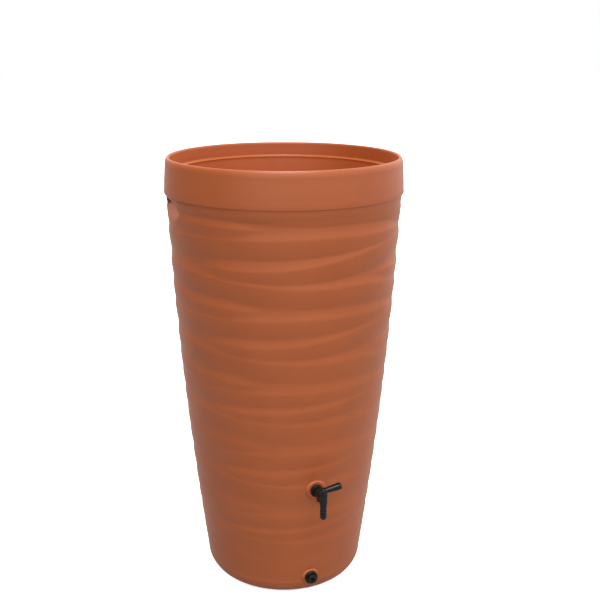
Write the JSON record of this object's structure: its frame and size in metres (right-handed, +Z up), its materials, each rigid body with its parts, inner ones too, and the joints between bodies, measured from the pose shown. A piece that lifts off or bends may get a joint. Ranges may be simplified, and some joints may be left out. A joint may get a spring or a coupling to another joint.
{
  "type": "rain barrel",
  "caption": "Tall tapering round rain barrel with a lift-off planter top, a quarter-turn tap with a barbed spout, and a screw drain plug near the foot.",
  "frame": {"origin": "centre of the flat foot, on the ground", "axes": "+Z up along the barrel's axis; -Y towards the tap and the drain; +X to the side the closed tap lever points to"},
  "size_m": [0.5999, 0.6067, 1.125],
  "materials": {
    "terracotta_plastic": "matt blow-moulded polyethylene, terracotta",
    "black_plastic": "black moulded plastic with a slight sheen",
    "black_rubber": "matt black rubber",
    "screw_steel": "zinc-plated steel"
  },
  "bodies": {
    "barrel": {"barrel_body": "terracotta_plastic", "tap_body": "black_plastic", "tap_outer_gasket": "black_rubber", "tap_inner_gasket": "black_rubber", "tap_lock_nut": "black_plastic", "valve_bonnet": "black_plastic", "hose_tail": "black_plastic", "hose_tail_seal": "black_rubber", "drain_bushing": "black_plastic", "drain_gasket": "black_rubber", "drain_lock_nut": "black_plastic"},
    "planter": {"planter_bowl": "terracotta_plastic", "planter_strainer": "black_plastic"},
    "valve": {"valve_plug": "black_plastic", "valve_o_rings": "black_rubber", "tap_lever": "black_plastic", "lever_screw": "screw_steel"},
    "drain_seal": {"drain_plug_seal": "black_rubber"},
    "drain_plug": {"drain_plug": "black_plastic"}
  },
  "joints": [
    {"name": "planter_lift", "type": "slide", "parent": "barrel", "child": "planter", "axis": [0, 0, 1], "range_m": [0, 0.25]},
    {"name": "valve_turn", "type": "hinge", "parent": "barrel", "child": "valve", "pos_m": [0, -0.297, 0.3235], "axis": [0, 0, 1], "range_deg": [-90, 0]},
    {"name": "drain_back_out", "type": "slide", "parent": "barrel", "child": "drain_seal", "axis": [0, -1, 0], "range_m": [0, 0.01]},
    {"name": "drain_turn", "type": "hinge", "parent": "drain_seal", "child": "drain_plug", "pos_m": [0, -0.2235, 0.058], "axis": [0, -1, 0], "range_deg": [0, 901]}
  ],
  "couplings": [
    {"joint": "drain_turn", "follows": "drain_back_out", "rad_per_m": 1570.8}
  ]
}
